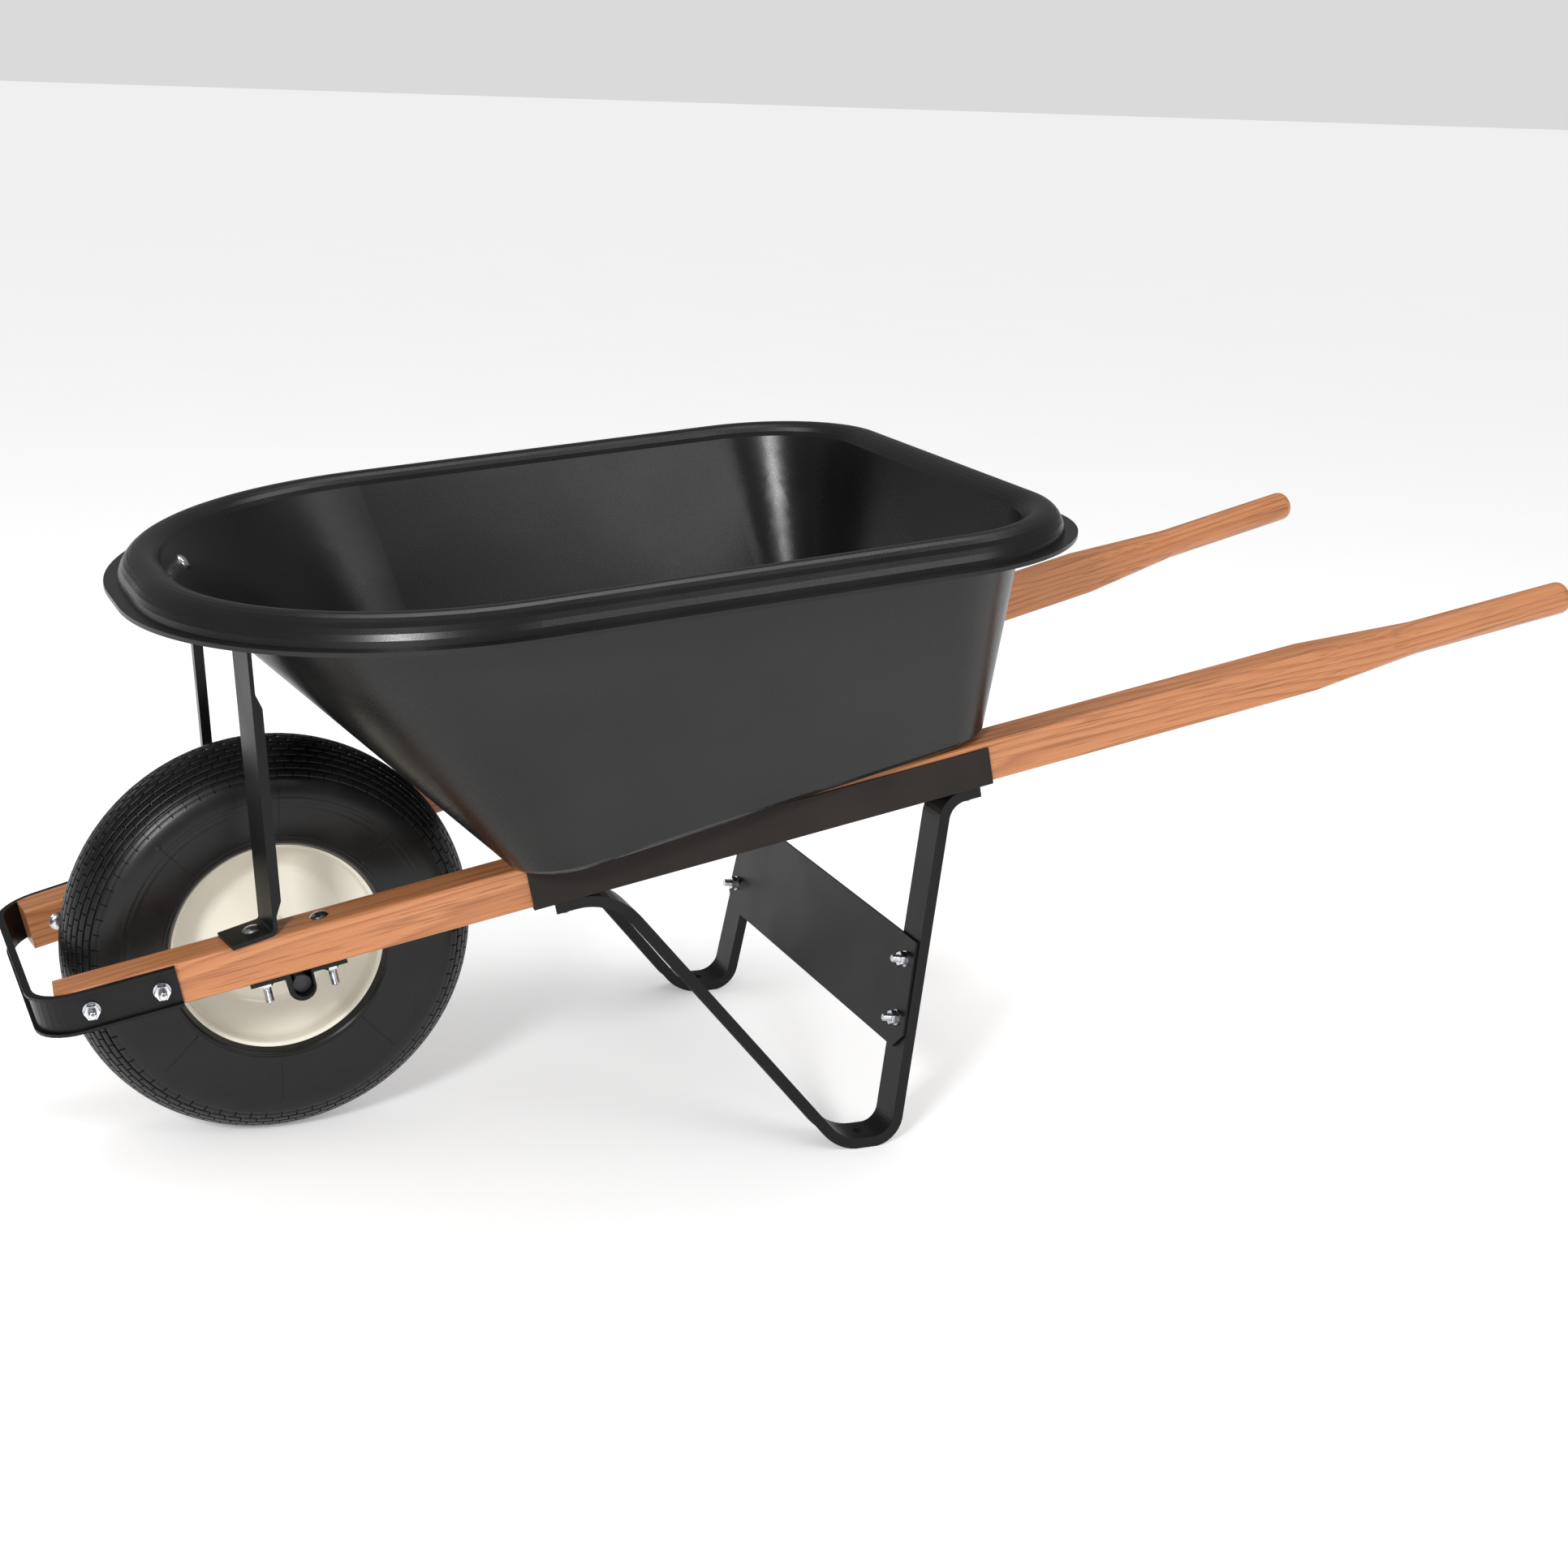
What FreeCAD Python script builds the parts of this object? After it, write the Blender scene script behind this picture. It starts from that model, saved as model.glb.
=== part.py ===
import FreeCAD, Part
import math
import os

# Wheelbarrow with a moulded tray, two timber handles and one pneumatic wheel.
# Millimetres.  +X runs from the wheel to the grips, +Z is up, the floor is z = 0 and
# the left side is -Y.  Every left-hand piece is drawn once and mirrored for the right.

os.makedirs("parts", exist_ok=True)

V = FreeCAD.Vector

# --- wheel ---
TYRE_R = 200.0
TYRE_HALF_W = 53.6
SECTION_R = 150.6          # radius at which the tyre is widest
TREAD_ANGLE = 64.0         # reach of the ribs round the crown, degrees each way
TREAD_RIBS = 15
GROOVE_DEPTH = 2.0
GROOVE_SHARE = 0.3         # part of each rib pitch taken by the groove
CASING_T = 6.0
RIM_SEAT_R = 101.5
RIM_FLANGE_R = 110.3
RIM_HALF_W = 47.0
RIM_T = 2.0
DISC_R = 70.0
TUBE_T = 2.0
TUBE_GAP = 3.0
HUB_R = 19.0
HUB_HALF_W = 48.0
AXLE_R = 9.5
AXLE_HALF_L = 146.0
RUN_GAP = 0.05             # running clearance between bearing and axle
BEARING_R = 16.0
BEARING_L = 12.0
BEARING_FLANGE = 2.0
SPACER_T = 3.0
SIDE_GAP = 0.6             # end play between wheel and spacers
VALVE_ANGLE = 192.5        # place round the wheel, degrees
VALVE_LEAN = 30.0          # stem leaning out of the plane of the wheel, degrees
VALVE_R = 4.0
VALVE_L = 52.0

# --- handles ---
HANDLE_W = 40.0
HANDLE_H = 41.6
HANDLE_L = 1577.0
HANDLE_FRONT_Y = 116.6     # centre line at the front end
HANDLE_EDGE_R = 3.0
HANDLE_NOSE_L = 20.0       # front outer corner cut away inside the guard's bend
HANDLE_NOSE_W = 6.0
SLOPE = 12.69              # rise of the handles, degrees
SPLAY = 5.28               # spread of each handle, degrees
TAPER_START = 1270.0
GRIP_START = 1395.0
GRIP_R = 16.8
AXLE_SETBACK = 213.8       # handle front end to axle, along the slope
AXLE_DROP = 15.7           # axle centre below the underside of the handles

# --- steel strap used for guard, legs and struts ---
STRAP_W = 38.0
STRAP_T = 3.0
LIP_D = 11.0               # leg channel depth
GUARD_LIP = 7.0
GUARD_W = 39.0
GUARD_REACH = 21.0         # front bar ahead of the handle ends
GUARD_ARM = 108.5
GUARD_BEND_R = 38.0
GUARD_BOLTS = (28.5, 92.4)

# --- axle brackets and tray struts ---
BRACKET_L = 91.0
BRACKET_T = 3.5
BRACKET_BOLT = 31.0        # bolt to axle centre, along the handle
STRUT_PAD_FRONT = 26.5     # pad ahead of and behind its bolt
STRUT_PAD_REAR = 14.0
STRUT_T = 4.0
STRUT_W = 44.0
STRUT_TURN = 12.0          # pad turned on the handle, degrees
STRUT_TOP_X = -61.0        # a point just outside the tray wall, beside the top bolt
STRUT_TOP_Y = 137.5
STRUT_TOP_DROP = 10.0      # below the rim plane
STRUT_TAB = 12.0           # half length of the tab on the wall
STRUT_SHIFT = 8.0          # middle of the tab inward of its bolt
STRUT_BENDS = (3.0, 5.0)
STRUT_LIP = 5.5            # stiffening lips on the rear of the strap
STRUT_LIP_T = 3.0
STRUT_LIP_ENDS = (14.0, 48.0)
STRUT_LIP_RAMP = 14.0

# --- side channels ---
CHANNEL_START = 440.5
CHANNEL_END = 911.0
CHANNEL_T = 2.5
CHANNEL_TOP_STEP = 5.6     # top edge below the top of the handle

# --- legs and brace ---
LEG_FRONT_END = 461.0
LEG_FRONT_BEND = 519.0
LEG_REAR_BEND = 857.0
LEG_REAR_END = 898.0
FOOT_FRONT_X = 520.0
FOOT_REAR_X = 571.0
FOOT_Y = 223.6
FOOT_HOLE_X = 543.0
FOOT_HOLE_R = 5.0
FOOT_FLAT = 0.3            # worn off the lips where they stand on the floor
BEND_FRONT_R = 64.0
BEND_REAR_R = 34.0
BEND_TOE_R = 45.0
BEND_HEEL_R = 20.0
BRACE_LOW = 94.0
BRACE_HIGH = 206.0
BRACE_T = 3.0
BRACE_CORNER = 17.0
BRACE_BOLT_Z = (124.0, 184.0)

# --- tray ---
TRAY_FRONT_X = -139.6      # outer edge of the rim
TRAY_REAR_X = 741.0
TRAY_HALF_W = 352.0
TRAY_NOSE_LONG = 305.0     # length of the rounded front
TRAY_NOSE_FLAT = 30.0      # half width of the short straight at the very front
TRAY_REAR_R = 167.0
RIM_REAR_Z = 623.0
RIM_PITCH = 0.099          # rise of the rim plane per mm
TRAY_T = 4.0
RIM_LIP = 12.5
BEAD_HALF = 22.7
BEAD_H = 29.8
BEAD_END = 145.0
FLOOR_FRONT_X = 184.0
FLOOR_REAR_X = 677.0
FLOOR_FRONT_HALF_W = 240.0
FLOOR_REAR_HALF_W = 229.0
FLOOR_FRONT_R = 62.0
FLOOR_REAR_R = 50.0
FLOOR_BEND_R = 22.0
FLOOR_BEND_END = 55.0
FLOOR_BOLTS = (472.0, 889.5)

# --- fasteners ---
BOLT_R = 4.0
HOLE_GAP = 0.3
HEAD_R = 9.0
HEAD_H = 4.0
NUT_ACROSS = 13.0
NUT_H = 6.5
WASHER_R = 8.0
WASHER_T = 1.6
THREAD_OUT = 8.0
THREAD_LONG = 24.0
THREAD_GAP = 0.05

X_AXIS, Y_AXIS, Z_AXIS = V(1, 0, 0), V(0, 1, 0), V(0, 0, 1)
AXLE = V(0, 0, TYRE_R)


# --- frames -----------------------------------------------------------------

def turn(axis, degrees):
    return FreeCAD.Rotation(axis, degrees)


def placed(shape, frame):
    copy = shape.copy()
    copy.Placement = frame.multiply(copy.Placement)
    return copy


def mirrored(shape):
    return shape.mirror(V(0, 0, 0), Y_AXIS)


def flipped(vector):
    return V(vector.x, -vector.y, vector.z)


DECK_ROT = turn(Y_AXIS, -SLOPE)
AXLE_IN_DECK = V(AXLE_SETBACK, 0, -(HANDLE_H / 2 + AXLE_DROP))
DECK = FreeCAD.Placement(AXLE - DECK_ROT.multVec(AXLE_IN_DECK), DECK_ROT)
RAIL = DECK.multiply(FreeCAD.Placement(V(0, -HANDLE_FRONT_Y, 0), turn(Z_AXIS, -SPLAY)))


def on_rail(along, inward=0.0, up=0.0):
    """World point measured along the left handle from its front end."""
    return RAIL.multVec(V(along, inward, up))


RAIL_ALONG = RAIL.Rotation.multVec(X_AXIS)
RAIL_INWARD = RAIL.Rotation.multVec(Y_AXIS)
RAIL_UP = RAIL.Rotation.multVec(Z_AXIS)
AXLE_ALONG = AXLE_SETBACK / math.cos(math.radians(SPLAY))


def deck_z(x):
    """Height of the handle tops, which is the underside of the tray floor."""
    top = DECK.multVec(V(0, 0, HANDLE_H / 2))
    return top.z + (x - top.x) * math.tan(math.radians(SLOPE))


def rim_z(x):
    return RIM_REAR_Z + RIM_PITCH * (x - TRAY_REAR_X)


# --- solids -----------------------------------------------------------------

def block(x0, x1, y0, y1, z0, z1):
    return Part.makeBox(x1 - x0, y1 - y0, z1 - z0, V(x0, y0, z0))


def rod(radius, start, end):
    return Part.makeCylinder(radius, (end - start).Length, start, end - start)


def ring(outer, inner, start, end):
    return rod(outer, start, end).cut(rod(inner, start, end))


def polygon(points):
    return Part.makePolygon(list(points) + [points[0]])


def rounded_path(points, radii, steps=6):
    """Stations (point, tangent, place) along a polyline with rounded corners.

    place counts the straight lengths: 0 on the first, 1 on the second, blending in a bend.
    """
    stations = [(points[0], (points[1] - points[0]).normalize(), 0)]
    for i in range(1, len(points) - 1):
        before = (points[i] - points[i - 1]).normalize()
        after = (points[i + 1] - points[i]).normalize()
        bend = before.getAngle(after)
        reach = radii[i - 1] * math.tan(bend / 2)
        start = points[i] - before * reach
        toward = (after - before * before.dot(after)).normalize()
        centre = start + toward * radii[i - 1]
        for k in range(steps + 1):
            angle = bend * k / steps
            point = centre + before * (radii[i - 1] * math.sin(angle))
            point = point - toward * (radii[i - 1] * math.cos(angle))
            tangent = before * math.cos(angle) + toward * math.sin(angle)
            stations.append((point, tangent, i - 1 + k / steps))
    stations.append((points[-1], (points[-1] - points[-2]).normalize(), len(points) - 2))
    return stations


def swept(profile, stations, laterals):
    """Solid through a profile of (across, out) points carried along the stations.

    laterals holds the across direction of each straight length.
    """
    wires = []
    for point, tangent, place in stations:
        low = min(int(place), len(laterals) - 2)
        share = place - low
        across = (laterals[low] * (1 - share) + laterals[low + 1] * share).normalize()
        out = tangent.cross(across).normalize()
        wires.append(polygon([point + across * p + out * q for p, q in profile]))
    return Part.makeLoft(wires, True, True)


def channel_profile(width, thick, depth):
    half = width / 2
    return [(-half, 0), (half, 0), (half, -depth), (half - thick, -depth), (half - thick, -thick),
            (thick - half, -thick), (thick - half, -depth), (-half, -depth)]


def strap_profile(width, thick):
    return [(-width / 2, 0), (width / 2, 0), (width / 2, -thick), (-width / 2, -thick)]


def hexagon(across, height):
    corner = across / math.sqrt(3)
    points = [V(corner * math.cos(k * math.pi / 3), corner * math.sin(k * math.pi / 3), 0)
              for k in range(6)]
    prism = Part.Face(polygon(points)).extrude(V(0, 0, height))
    cone = Part.makeCone(corner + height, across / 2, height + corner - across / 2,
                         V(0, 0, corner / 2 - across / 4))
    return prism.common(cone)


def bolt_set(start, direction, grip, tail):
    """Carriage bolt, washer and nut; the head seats at start, the nut after the grip."""
    head = Part.makeCylinder(HEAD_R, HEAD_H, V(0, 0, -HEAD_H))
    crown = [e for e in head.Edges if abs(e.BoundBox.ZMax + HEAD_H) < 1e-6]
    head = head.makeFillet(HEAD_H * 0.7, crown[:1])
    reach = grip + WASHER_T + NUT_H + tail
    shank = Part.makeCylinder(BOLT_R, reach)
    shank = shank.makeChamfer(BOLT_R / 5, [e for e in shank.Edges if e.BoundBox.ZMin > reach - 1e-6])
    bore = Part.makeCylinder(BOLT_R + THREAD_GAP, reach + 1)
    washer = Part.makeCylinder(WASHER_R, WASHER_T, V(0, 0, grip)).cut(bore)
    nut = hexagon(NUT_ACROSS, NUT_H)
    nut.translate(V(0, 0, grip + WASHER_T))
    frame = FreeCAD.Placement(start, FreeCAD.Rotation(Z_AXIS, direction))
    return [placed(s, frame) for s in (head.fuse(shank).removeSplitter(), washer, nut.cut(bore))]


def drill(shape, start, direction, radius=BOLT_R + HOLE_GAP, reach=120.0):
    axis = V(direction).normalize() * reach
    return shape.cut(rod(radius, start - axis, start + axis))


def drill_both(shape, start, direction, reach=120.0):
    """The same hole on the left and, mirrored, on the right."""
    shape = drill(shape, start, direction, reach=reach)
    return drill(shape, flipped(start), flipped(direction), reach=reach)


# --- wheel --------------------------------------------------------------------

def wheel_face(points):
    """Flat section from (radius, across) pairs, ready to turn about the axle."""
    return Part.Face(polygon([AXLE + V(r, w, 0) for r, w in points]))


def turned(points):
    return wheel_face(points).revolve(AXLE, Y_AXIS, 360)


def crown_point(angle, sink=0.0, inset=0.0):
    """Point on the tyre section, angle from the crown, sunk below the tread surface."""
    tall = TYRE_R - SECTION_R - sink - inset
    wide = TYRE_HALF_W - sink - inset
    return (SECTION_R + tall * math.cos(angle), wide * math.sin(angle))


def tread_points():
    limit = math.radians(TREAD_ANGLE)
    pitch = 2 * limit / TREAD_RIBS
    groove = pitch * GROOVE_SHARE / 2
    points = []
    for k in range(TREAD_RIBS):
        low = -limit + k * pitch
        if k:
            points.append(crown_point(low, GROOVE_DEPTH))
        points.append(crown_point(low + (groove if k else 0)))
        points.append(crown_point(low + pitch / 2))
        points.append(crown_point(low + pitch - (groove if k < TREAD_RIBS - 1 else 0)))
        if k < TREAD_RIBS - 1:
            points.append(crown_point(low + pitch - groove, GROOVE_DEPTH))
            points.append(crown_point(low + pitch, GROOVE_DEPTH))
    return points


def sidewall_points(inset):
    """Sidewall from the shoulder down to the rim flange, on the positive side."""
    first = math.radians(TREAD_ANGLE)
    points = [crown_point(first + (math.pi / 2 - first) * k / 4, 0, inset) for k in range(1, 5)]
    drop = SECTION_R - RIM_FLANGE_R - 2 * RIM_T - inset
    lean = TYRE_HALF_W - RIM_HALF_W + RIM_T
    for k in range(1, 6):
        share = k / 5
        points.append((SECTION_R - drop * share, TYRE_HALF_W - inset - lean * share ** 2))
    return points


def tyre_section():
    seat = RIM_HALF_W - 3 * RIM_T - 0.7
    bead = [(RIM_FLANGE_R + 0.8, seat + 1.0), (RIM_FLANGE_R - 2.5, seat), (RIM_SEAT_R + 1.1, seat),
            (RIM_SEAT_R + 1.1, seat - 11), (RIM_SEAT_R + 7, seat - 12)]
    inner_side = [(r, w) for r, w in sidewall_points(CASING_T)]
    inner_crown = [crown_point(math.radians(TREAD_ANGLE) * k / 8, 0, CASING_T + GROOVE_DEPTH)
                   for k in range(8, -1, -1)]
    right = sidewall_points(0) + bead + inner_side[::-1] + inner_crown
    left = [(r, -w) for r, w in right[::-1]][1:]
    return tread_points() + right + left


def rim_half():
    """Right-hand stamped half: disc, well, bead seat and rolled flange."""
    mid = RIM_T / 2
    corners = [(HUB_R + THREAD_GAP, mid), (DISC_R, mid), (RIM_SEAT_R - mid, RIM_HALF_W / 2),
               (RIM_SEAT_R - mid, RIM_HALF_W - 2.5 * RIM_T),
               (RIM_FLANGE_R - mid, RIM_HALF_W - 2 * RIM_T), (RIM_FLANGE_R - mid, RIM_HALF_W)]
    path = rounded_path([V(r, w, 0) for r, w in corners], (16, 9, 3, 1.6), 5)
    outer = [(p.x - t.y * mid, p.y + t.x * mid) for p, t, _ in path]
    inner = [(p.x + t.y * mid, p.y - t.x * mid) for p, t, _ in path]
    return turned(outer + inner[::-1])


def tube_ring(inset):
    wide = TYRE_HALF_W - CASING_T - TUBE_GAP - inset
    tall = TYRE_R - SECTION_R - CASING_T - GROOVE_DEPTH - TUBE_GAP - inset
    sides = 40
    return turned([(SECTION_R + tall * math.cos(2 * math.pi * k / sides),
                    wide * math.sin(2 * math.pi * k / sides)) for k in range(sides)])


def valve_parts(rim_left, tube):
    """Stem from the tube out through the left rim half, with its cap."""
    spin = FreeCAD.Placement(AXLE, turn(Y_AXIS, -VALVE_ANGLE))
    base = spin.multVec(V(2 * SECTION_R - TYRE_R + CASING_T + GROOVE_DEPTH + 5, 0, 0))
    lean = math.radians(VALVE_LEAN)
    way = spin.Rotation.multVec(V(-math.cos(lean), -math.sin(lean), 0))
    cap_base = base + way * (VALVE_L - 7)
    tip = base + way * VALVE_L
    bore = rod(VALVE_R / 3, base - way, tip + way * 2)
    sleeve = rod(VALVE_R + THREAD_GAP, base - way, tip)
    stem = rod(VALVE_R, base, tip).cut(bore)
    cap = rod(VALVE_R + 0.8, cap_base, tip + way * 3).cut(sleeve.fuse(bore))
    rim_left = rim_left.cut(rod(VALVE_R + 1, base, tip))
    return stem, cap, rim_left, tube.cut(sleeve)


def hub_parts():
    end = AXLE + Y_AXIS * HUB_HALF_W
    seat = AXLE + Y_AXIS * (HUB_HALF_W - BEARING_L)
    hub = ring(HUB_R, AXLE_R + 2.5, AXLE - Y_AXIS * HUB_HALF_W, end)
    hub = hub.cut(rod(BEARING_R + THREAD_GAP, seat, end + Y_AXIS))
    hub = hub.cut(mirrored(rod(BEARING_R + THREAD_GAP, seat, end + Y_AXIS)))
    flange = end + Y_AXIS * BEARING_FLANGE
    bearing = rod(BEARING_R, seat, end).fuse(rod(HUB_R, end, flange)).removeSplitter()
    bearing = bearing.cut(rod(AXLE_R + RUN_GAP, seat - Y_AXIS, flange + Y_AXIS))
    lube = AXLE + Y_AXIS * (-HUB_HALF_W / 2) - X_AXIS * (HUB_R - 1)
    hub = hub.cut(rod(3.05, lube, lube - X_AXIS * 3))
    fitting = rod(3.0, lube, lube - X_AXIS * 6).fuse(rod(2.0, lube - X_AXIS * 6, lube - X_AXIS * 9))
    return hub, bearing, fitting.removeSplitter()


# --- handles and front end ------------------------------------------------------

def eight_sided(x, half_w, half_h, corner):
    """Closed section across the handle made of four sides joined by four corners."""
    edges = []
    for k in range(4):
        side = turn(X_AXIS, 90 * k)
        wide, tall = (half_w, half_h) if k % 2 == 0 else (half_h, half_w)
        a = V(x, -(wide - corner), -tall)
        b = V(x, wide - corner, -tall)
        c = V(x, wide, -(tall - corner))
        m = V(x, wide - corner * (1 - math.sqrt(0.5)), -(tall - corner * (1 - math.sqrt(0.5))))
        a, b, c, m = [side.multVec(p) for p in (a, b, c, m)]
        edges.append(Part.makeLine(a, b))
        edges.append(Part.Arc(b, m, c).toShape())
    return Part.Wire(edges)


def eight_arcs(x, radius):
    """The same eight edges drawn as one circle."""
    edges = []
    for k in range(8):
        angles = [math.radians(45 * k - 22.5 + 22.5 * j) for j in range(3)]
        points = [V(x, radius * math.sin(a), -radius * math.cos(a)) for a in angles]
        edges.append(Part.Arc(*points).toShape())
    return Part.Wire(edges)


def handle():
    square = eight_sided(0, HANDLE_W / 2, HANDLE_H / 2, HANDLE_EDGE_R)
    beam = Part.Face(square).extrude(V(TAPER_START, 0, 0))
    end = eight_sided(TAPER_START, HANDLE_W / 2, HANDLE_H / 2, HANDLE_EDGE_R)
    taper = Part.makeLoft([end, eight_arcs(GRIP_START, GRIP_R)], True, True)
    grip = rod(GRIP_R, V(GRIP_START, 0, 0), V(HANDLE_L, 0, 0))
    tip = [e for e in grip.Edges if e.BoundBox.XMin > HANDLE_L - 1e-6]
    grip = grip.makeFillet(GRIP_R * 0.6, tip)
    side = -HANDLE_W / 2
    corner = polygon([V(HANDLE_NOSE_L, side, -HANDLE_H), V(HANDLE_NOSE_L, side - 1, -HANDLE_H),
                      V(-1, side - 1, -HANDLE_H), V(-1, side + HANDLE_NOSE_W, -HANDLE_H),
                      V(0, side + HANDLE_NOSE_W, -HANDLE_H)])
    beam = beam.cut(Part.Face(corner).extrude(V(0, 0, 2 * HANDLE_H)))
    return placed(beam.fuse([taper, grip]), RAIL)


def nose_guard():
    """Channel strap round the handle ends, from one outer face to the other."""
    front = -(GUARD_REACH - STRAP_T)
    splay = math.radians(SPLAY)
    half = HANDLE_W / 2

    def arm(along):
        return V(along * math.cos(splay) - half * math.sin(splay),
                 -HANDLE_FRONT_Y - along * math.sin(splay) - half * math.cos(splay), 0)

    corner = arm((front + half * math.sin(splay)) / math.cos(splay))
    left = [arm(GUARD_ARM), corner]
    points = left + [V(p.x, -p.y, 0) for p in left[::-1]]
    path = rounded_path(points, (GUARD_BEND_R, GUARD_BEND_R), 8)
    shape = swept(channel_profile(GUARD_W, STRAP_T, GUARD_LIP), path, [Z_AXIS] * 3)
    return placed(shape, DECK)


def axle_bracket():
    """Strap under the handle with a loop that carries the axle."""
    under = -HANDLE_H / 2
    half = STRAP_W / 2
    out = AXLE_R + BRACKET_T
    hang = under - AXLE_DROP
    plate = block(AXLE_ALONG - BRACKET_L / 2, AXLE_ALONG + BRACKET_L / 2, -half, half,
                  under - BRACKET_T, under)
    loop = block(AXLE_ALONG - out, AXLE_ALONG + out, -half, half, hang, under)
    loop = loop.fuse(rod(out, V(AXLE_ALONG, -half, hang), V(AXLE_ALONG, half, hang)))
    shape = placed(plate.fuse(loop).removeSplitter(), RAIL)
    slot = block(-AXLE_R, AXLE_R, -AXLE_HALF_L - STRAP_W, 0, 0, AXLE_DROP)
    slot = placed(slot, FreeCAD.Placement(AXLE, DECK_ROT))
    channel = rod(AXLE_R + THREAD_GAP, AXLE, AXLE - Y_AXIS * (AXLE_HALF_L + STRAP_W))
    return shape.cut(channel.fuse(slot))


def tray_strut(tray):
    """Strap from the handle top up to a tab lying against the tray's front wall."""
    pad_frame = FreeCAD.Placement(on_rail(AXLE_ALONG - BRACKET_BOLT, 0, HANDLE_H / 2 + STRUT_T),
                                  RAIL.Rotation.multiply(turn(Z_AXIS, STRUT_TURN)))
    guess = V(STRUT_TOP_X, -STRUT_TOP_Y, rim_z(STRUT_TOP_X) - STRUT_TOP_DROP)
    touch = tray.distToShape(Part.Vertex(guess))[1][0][0]
    outward = (guess - touch).normalize()
    pad_across = pad_frame.Rotation.multVec(Y_AXIS)
    across = (pad_across - outward * outward.dot(pad_across)).normalize()
    climb = across.cross(outward)
    seat = touch + outward * STRUT_T + across * STRUT_SHIFT
    points = [pad_frame.multVec(V(-STRUT_PAD_FRONT, 0, 0)),
              pad_frame.multVec(V(STRUT_PAD_REAR, 0, 0)),
              seat - climb * STRUT_TAB, seat + climb * STRUT_TAB]
    path = rounded_path(points, STRUT_BENDS)
    laterals = [pad_across, pad_across, across]
    strut = swept(strap_profile(STRUT_W, STRUT_T), path, laterals)
    strut = strut.fuse(strut_lips(points[1], points[2], pad_across)).removeSplitter()
    return strut, touch, outward


def strut_lips(low, high, across):
    """Two lips along the edges of the strap between low and high, ramped at their ends."""
    climb = (high - low).normalize()
    back = across.cross(climb).normalize()
    start, end = STRUT_LIP_ENDS[0], (high - low).Length - STRUT_LIP_ENDS[1]
    deep = STRUT_T + STRUT_LIP
    outline = [(start, STRUT_T / 2), (start, STRUT_T), (start + STRUT_LIP_RAMP, deep),
               (end - STRUT_LIP_RAMP, deep), (end, STRUT_T), (end, STRUT_T / 2)]
    lips = []
    for edge, way in ((STRUT_W / 2, -1), (-STRUT_W / 2, 1)):
        foot = low + across * edge
        face = Part.Face(polygon([foot + climb * s + back * d for s, d in outline]))
        lips.append(face.extrude(across * (way * STRUT_LIP_T)))
    return lips


# --- tray -----------------------------------------------------------------------

def quarter(start, corner, end):
    curve = Part.BezierCurve()
    curve.setPoles([start, corner, end])
    curve.setWeight(2, math.sqrt(0.5))
    return curve.toShape()


def tray_ring(ends, halves, nose_x, nose_y, rear_r, height):
    """Closed ring: flat nose, two elliptical quarters, sides, rear corners and back.

    ends are the front and rear x, halves the half widths there.
    """
    front, rear = ends
    half, rear_half = halves

    def side(s):
        """Nose end, nose corner, side start, side end, rear corner and back end."""
        plan = [(front, half - nose_y), (front, half), (front + nose_x, half),
                (rear - rear_r, rear_half), (rear, rear_half), (rear, rear_half - rear_r)]
        return [V(x, s * y, height(x)) for x, y in plan]

    right = side(1)
    left = side(-1)
    return Part.Wire([
        Part.makeLine(left[0], right[0]),
        quarter(*right[:3]),
        Part.makeLine(right[2], right[3]),
        quarter(*right[3:]),
        Part.makeLine(right[5], left[5]),
        quarter(*left[5:2:-1]),
        Part.makeLine(left[3], left[2]),
        quarter(*left[2::-1]),
    ])


def rim_ring(inset, lift):
    half = TRAY_HALF_W - inset
    return tray_ring((TRAY_FRONT_X + inset, TRAY_REAR_X - inset), (half, half),
                     TRAY_NOSE_LONG - inset, half - TRAY_NOSE_FLAT, TRAY_REAR_R - inset,
                     lambda x: rim_z(x) + lift)


def floor_ring(inset, lift):
    halves = (FLOOR_FRONT_HALF_W - inset, FLOOR_REAR_HALF_W - inset)
    return tray_ring((FLOOR_FRONT_X + inset, FLOOR_REAR_X - inset), halves,
                     FLOOR_FRONT_R - inset / 2, FLOOR_FRONT_R - inset / 2,
                     FLOOR_REAR_R - inset / 2, lambda x: deck_z(x) + lift)


def tray_skin(shrink):
    """Rings from the floor edge up to the lip; shrink 0 is the outside of the moulding."""
    rings = []
    bend_r = FLOOR_BEND_R - shrink
    for k in range(6):
        angle = math.radians(FLOOR_BEND_END) * k / 5
        rings.append(floor_ring(FLOOR_BEND_R - bend_r * math.sin(angle),
                                FLOOR_BEND_R - bend_r * math.cos(angle)))
    middle = RIM_LIP + BEAD_HALF
    grow = TRAY_T - shrink
    first = math.radians(BEAD_END)
    last = math.asin(shrink / BEAD_H)
    for k in range(13):
        angle = first + (last - first) * k / 12
        rings.append(rim_ring(middle - (BEAD_HALF - grow) * math.cos(angle),
                              (BEAD_H - grow) * math.sin(angle)))
    rings.append(rim_ring(0, shrink))
    return rings


def make_tray():
    outside = tray_skin(0)
    inside = tray_skin(TRAY_T)
    skin = Part.makeLoft(outside + inside[::-1], False, True)
    shell = Part.makeShell(skin.Faces + [Part.Face(outside[0]), Part.Face(inside[0])])
    shell.sewShape()
    solid = Part.Solid(shell)
    if solid.Volume < 0:
        solid.reverse()
    return solid


# --- legs, channels and brace ------------------------------------------------------

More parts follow.
